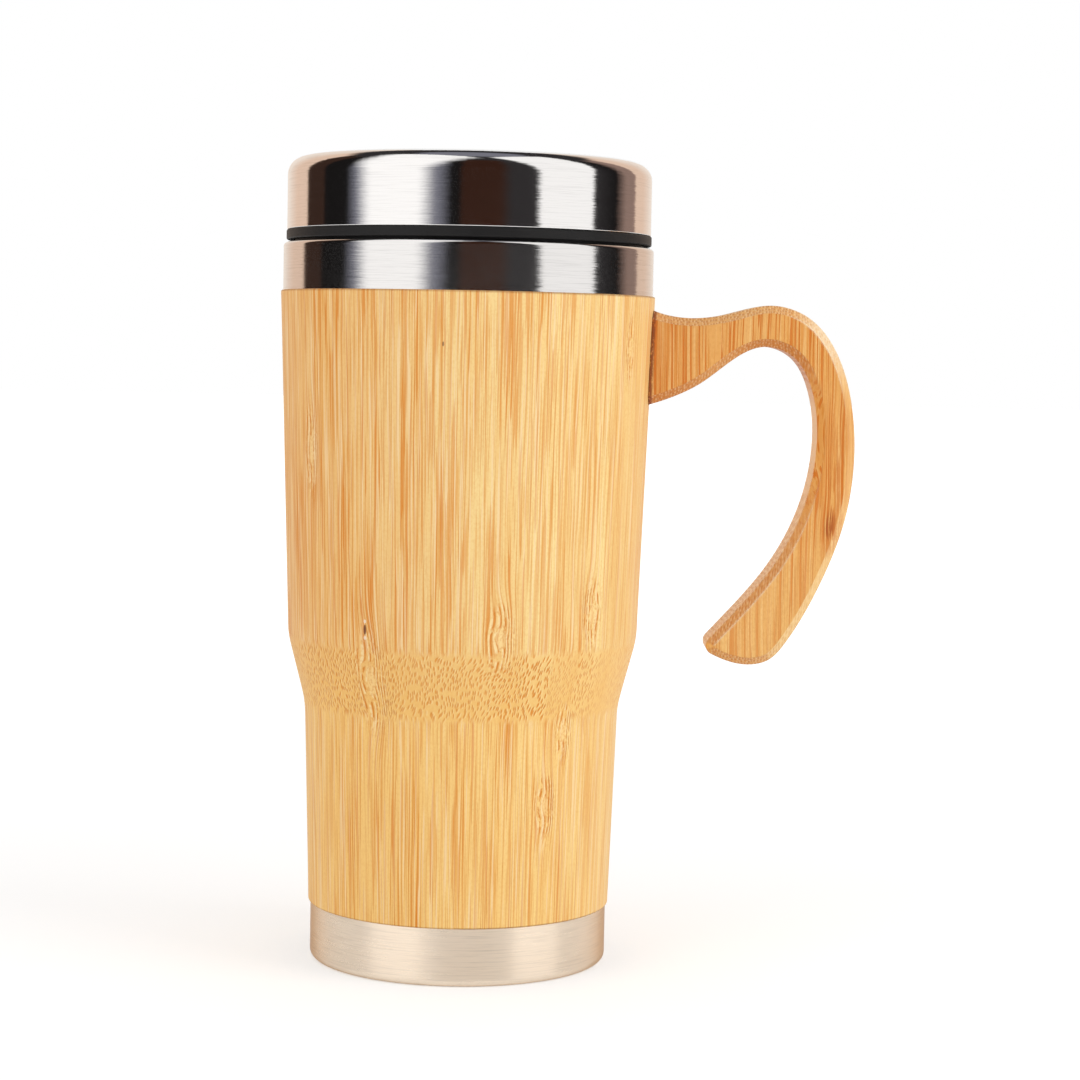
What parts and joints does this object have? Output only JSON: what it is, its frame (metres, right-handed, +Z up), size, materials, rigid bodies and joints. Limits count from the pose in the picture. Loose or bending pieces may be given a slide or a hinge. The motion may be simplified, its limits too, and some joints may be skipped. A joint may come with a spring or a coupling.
{
  "type": "bamboo travel mug",
  "caption": "Tapered bamboo travel mug with a steel liner, steel rim and base bands, a bamboo hook handle and a lift-off steel-topped lid with a sliding drink closure.",
  "frame": {"origin": "on the mug's axis, in the plane it stands on", "axes": "+Z up along the mug's axis, +X towards the handle, -Y towards the drink hole of the lid"},
  "size_m": [0.1261, 0.082, 0.176],
  "materials": {
    "bamboo": "sanded, clear satin lacquer",
    "handle_bamboo": "sanded, clear satin lacquer",
    "liner_steel": "drawn, satin",
    "bright_steel": "fine brushed, bright",
    "satin_steel": "brushed, satin",
    "screw_steel": "plain",
    "black_plastic": "moulded polypropylene, matte",
    "silicone": "translucent silicone"
  },
  "bodies": {
    "mug": {"bamboo_sleeve": "bamboo", "steel_liner": "liner_steel", "rim_collar": "bright_steel", "base_cup": "satin_steel", "bamboo_handle": "handle_bamboo", "handle_screws": "screw_steel"},
    "gasket": {"lid_gasket": "silicone"},
    "lid": {"lid_cover": "bright_steel", "lid_deck": "black_plastic", "lid_plug": "black_plastic"},
    "slider": {"drink_slider": "black_plastic", "slider_seal": "silicone", "slider_retainer": "black_plastic"}
  },
  "joints": [
    {"name": "lid_lift", "type": "slide", "parent": "mug", "child": "gasket", "axis": [0, 0, 1], "range_m": [0, 0.09]},
    {"name": "lid_turn", "type": "hinge", "parent": "gasket", "child": "lid", "pos_m": [0, 0, 0.16], "axis": [0, 0, 1], "continuous": true},
    {"name": "slider_slide", "type": "slide", "parent": "lid", "child": "slider", "axis": [0, 1, 0], "range_m": [0, 0.013]}
  ]
}
